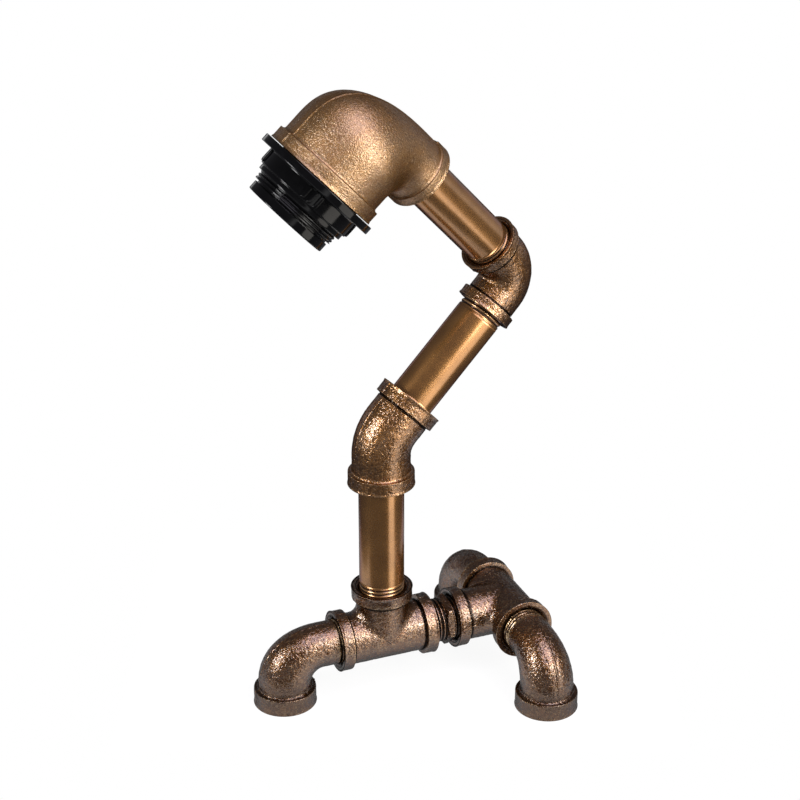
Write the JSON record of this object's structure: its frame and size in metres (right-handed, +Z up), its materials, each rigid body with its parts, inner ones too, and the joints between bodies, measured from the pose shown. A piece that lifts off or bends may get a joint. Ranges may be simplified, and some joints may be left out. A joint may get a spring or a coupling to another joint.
{
  "type": "table lamp",
  "caption": "Table lamp made of threaded pipe fittings, with a leaning swivel arm and a large reducing elbow that holds a screw lampholder.",
  "frame": {"origin": "centre of the front foot's mouth, on the surface the lamp stands on", "axes": "+X along the base towards the two rear feet, +Y towards the far foot, +Z up"},
  "size_m": [0.1363, 0.1224, 0.2794],
  "materials": {
    "cast_fitting": "antique bronze coating over a pebbled casting, semi-gloss",
    "pipe": "antique bronze coating, satin",
    "head_casting": "antique bronze coating over a fine sandy casting, semi-gloss",
    "holder_black": "polished black thermoset",
    "cap_black": "moulded black thermoset",
    "ceramic": "glazed steatite, pale",
    "contact_brass": "rolled sheet",
    "terminal_steel": "zinc plated"
  },
  "bodies": {
    "base": {"front_foot_elbow": "cast_fitting", "front_tee": "cast_fitting", "hex_nipple": "cast_fitting", "rear_tee": "cast_fitting", "near_foot_elbow": "cast_fitting", "far_foot_elbow": "cast_fitting"},
    "mast": {"column_pipe": "pipe", "lower_elbow": "cast_fitting"},
    "middle_arm": {"middle_pipe": "pipe", "upper_elbow": "cast_fitting"},
    "head_arm": {"upper_pipe": "pipe", "head_elbow": "head_casting", "holder_shell": "holder_black", "holder_cap": "cap_black", "contact_carrier": "ceramic", "screw_shell": "contact_brass", "centre_contact": "contact_brass", "side_contact": "contact_brass", "terminal_screws": "terminal_steel"},
    "shade_ring": {"shade_ring": "holder_black"}
  },
  "joints": [
    {"name": "column_swivel", "type": "hinge", "parent": "base", "child": "mast", "pos_m": [0.0469, 0, 0.0492], "axis": [0, 0, 1], "range_deg": [-66.5, 53.5]},
    {"name": "middle_swivel", "type": "hinge", "parent": "mast", "child": "middle_arm", "pos_m": [0.0469, 0, 0.1222], "axis": [0.7026, 0.08, 0.7071], "range_deg": [-81, 69]},
    {"name": "head_swivel", "type": "hinge", "parent": "middle_arm", "child": "head_arm", "pos_m": [0.11245, 0.00747, 0.18817], "axis": [-0.6869, -0.1835, 0.7032], "range_deg": [-84, 96]},
    {"name": "ring_travel", "type": "slide", "parent": "head_arm", "child": "shade_ring", "axis": [-0.7182, 0.0228, -0.6955], "range_m": [0, 0.0045]}
  ]
}
